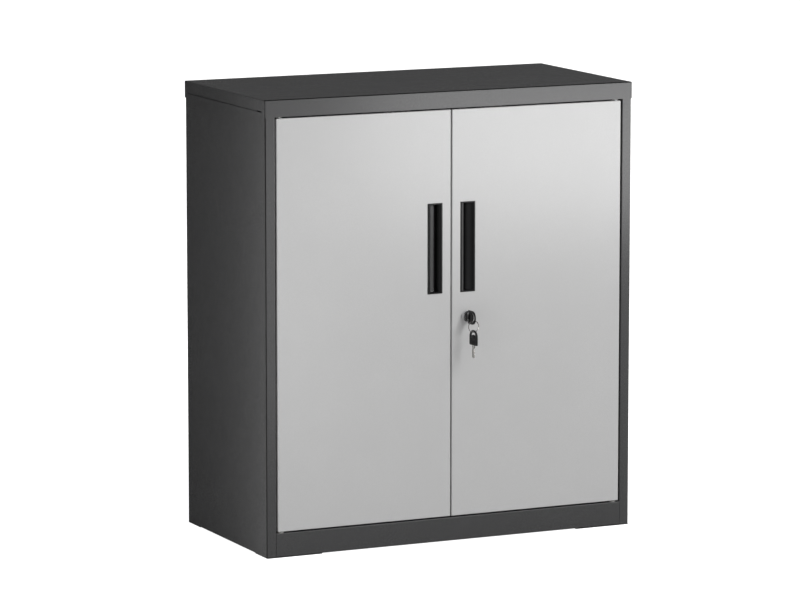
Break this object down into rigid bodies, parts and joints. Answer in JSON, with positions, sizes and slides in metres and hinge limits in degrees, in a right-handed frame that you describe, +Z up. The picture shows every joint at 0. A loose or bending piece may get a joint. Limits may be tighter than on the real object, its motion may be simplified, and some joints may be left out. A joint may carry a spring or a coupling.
{
  "type": "two-door storage cabinet",
  "caption": "Steel cabinet with flush hinged doors, recessed pull handles, adjustable shelves and a keyed rod lock with its keys.",
  "frame": {"origin": "on the floor, under the middle of the overall box, which takes in the keys that stand out in front", "axes": "+Z up, the doors face -Y, +X to the right as seen from the front"},
  "size_m": [0.8, 0.4466, 0.9],
  "materials": {
    "carcass_paint": "dark grey fine-texture powder coat, satin",
    "door_paint": "light grey powder coat, satin",
    "black_plastic": "moulded black plastic, satin",
    "chrome_plate": "bright chrome plate",
    "zinc_plated_steel": "bright zinc plate",
    "nickel_plate": "polished nickel plate",
    "white_nylon": "natural white nylon"
  },
  "bodies": {
    "carcass": {"top_panel": "carcass_paint", "left_top_rail": "carcass_paint", "right_top_rail": "carcass_paint", "left_side_panel": "carcass_paint", "right_side_panel": "carcass_paint", "back_panel": "carcass_paint", "back_rivets": "carcass_paint", "plinth": "carcass_paint", "bottom_panel": "carcass_paint", "left_front_foot_plate": "black_plastic", "right_front_foot_plate": "black_plastic", "left_back_foot_plate": "black_plastic", "right_back_foot_plate": "black_plastic", "left_front_upright": "carcass_paint", "right_front_upright": "carcass_paint", "left_back_upright": "carcass_paint", "right_back_upright": "carcass_paint", "lower_shelf_clips": "zinc_plated_steel", "upper_shelf_clips": "zinc_plated_steel", "left_top_pivot_bush": "white_nylon", "right_top_pivot_bush": "white_nylon", "left_bottom_pivot_bush": "white_nylon", "right_bottom_pivot_bush": "white_nylon", "left_magnetic_catch": "white_nylon", "right_magnetic_catch": "white_nylon"},
    "left_door": {"left_door_panel": "door_paint", "left_door_rib": "door_paint", "left_handle_cup": "black_plastic", "left_top_pivot_pin": "zinc_plated_steel", "left_bottom_pivot_pin": "zinc_plated_steel", "left_catch_strike": "zinc_plated_steel"},
    "right_door": {"right_door_panel": "door_paint", "right_door_rib": "door_paint", "right_handle_cup": "black_plastic", "right_top_pivot_pin": "zinc_plated_steel", "right_bottom_pivot_pin": "zinc_plated_steel", "right_catch_strike": "zinc_plated_steel", "lock_barrel": "chrome_plate", "lock_nut": "zinc_plated_steel", "upper_rod_guide": "zinc_plated_steel", "lower_rod_guide": "zinc_plated_steel"},
    "lock_core": {"lock_plug": "chrome_plate", "lock_cam": "zinc_plated_steel", "cam_screw": "zinc_plated_steel"},
    "upper_rod": {"upper_lock_rod": "zinc_plated_steel"},
    "lower_rod": {"lower_lock_rod": "zinc_plated_steel"},
    "key": {"key_blade": "nickel_plate", "key_bow": "black_plastic"},
    "ring": {"key_ring": "nickel_plate"},
    "spare_key": {"spare_key_blade": "nickel_plate", "spare_key_bow": "black_plastic"},
    "lower_shelf_body": {"lower_shelf": "carcass_paint", "lower_shelf_stiffener": "carcass_paint"},
    "upper_shelf_body": {"upper_shelf": "carcass_paint", "upper_shelf_stiffener": "carcass_paint"}
  },
  "joints": [
    {"name": "left_door_swing", "type": "hinge", "parent": "carcass", "child": "left_door", "pos_m": [-0.366, -0.16775, 0.0513], "axis": [0, 0, -1], "range_deg": [0, 105]},
    {"name": "right_door_swing", "type": "hinge", "parent": "carcass", "child": "right_door", "pos_m": [0.366, -0.16775, 0.0513], "axis": [0, 0, 1], "range_deg": [0, 105]},
    {"name": "lock_turn", "type": "hinge", "parent": "right_door", "child": "lock_core", "pos_m": [0.033, -0.17675, 0.4515], "axis": [0, -1, 0], "range_deg": [0, 90]},
    {"name": "upper_rod_slide", "type": "slide", "parent": "right_door", "child": "upper_rod", "axis": [0, 0, 1], "range_m": [0, 0.01697]},
    {"name": "lower_rod_slide", "type": "slide", "parent": "right_door", "child": "lower_rod", "axis": [0, 0, -1], "range_m": [0, 0.01707]},
    {"name": "key_pull", "type": "slide", "parent": "lock_core", "child": "key", "axis": [0, -1, 0], "range_m": [0, 0.03]},
    {"name": "ring_hang", "type": "hinge", "parent": "key", "child": "ring", "pos_m": [0.033, -0.20975, 0.44125], "axis": [0, -1, 0], "range_deg": [-90, 0]},
    {"name": "spare_key_swing", "type": "hinge", "parent": "ring", "child": "spare_key", "pos_m": [0.033, -0.20975, 0.42375], "axis": [-1, 0, 0], "range_deg": [-18, 45]},
    {"name": "lower_shelf_lift", "type": "slide", "parent": "carcass", "child": "lower_shelf_body", "axis": [0, 0, 1], "range_m": [0, 0.02]},
    {"name": "upper_shelf_lift", "type": "slide", "parent": "carcass", "child": "upper_shelf_body", "axis": [0, 0, 1], "range_m": [0, 0.02]}
  ],
  "couplings": [
    {"joint": "lock_turn", "follows": "upper_rod_slide", "rad_per_m": 92.56},
    {"joint": "lower_rod_slide", "follows": "upper_rod_slide", "ratio": 1},
    {"joint": "ring_hang", "follows": "upper_rod_slide", "rad_per_m": -92.56}
  ]
}
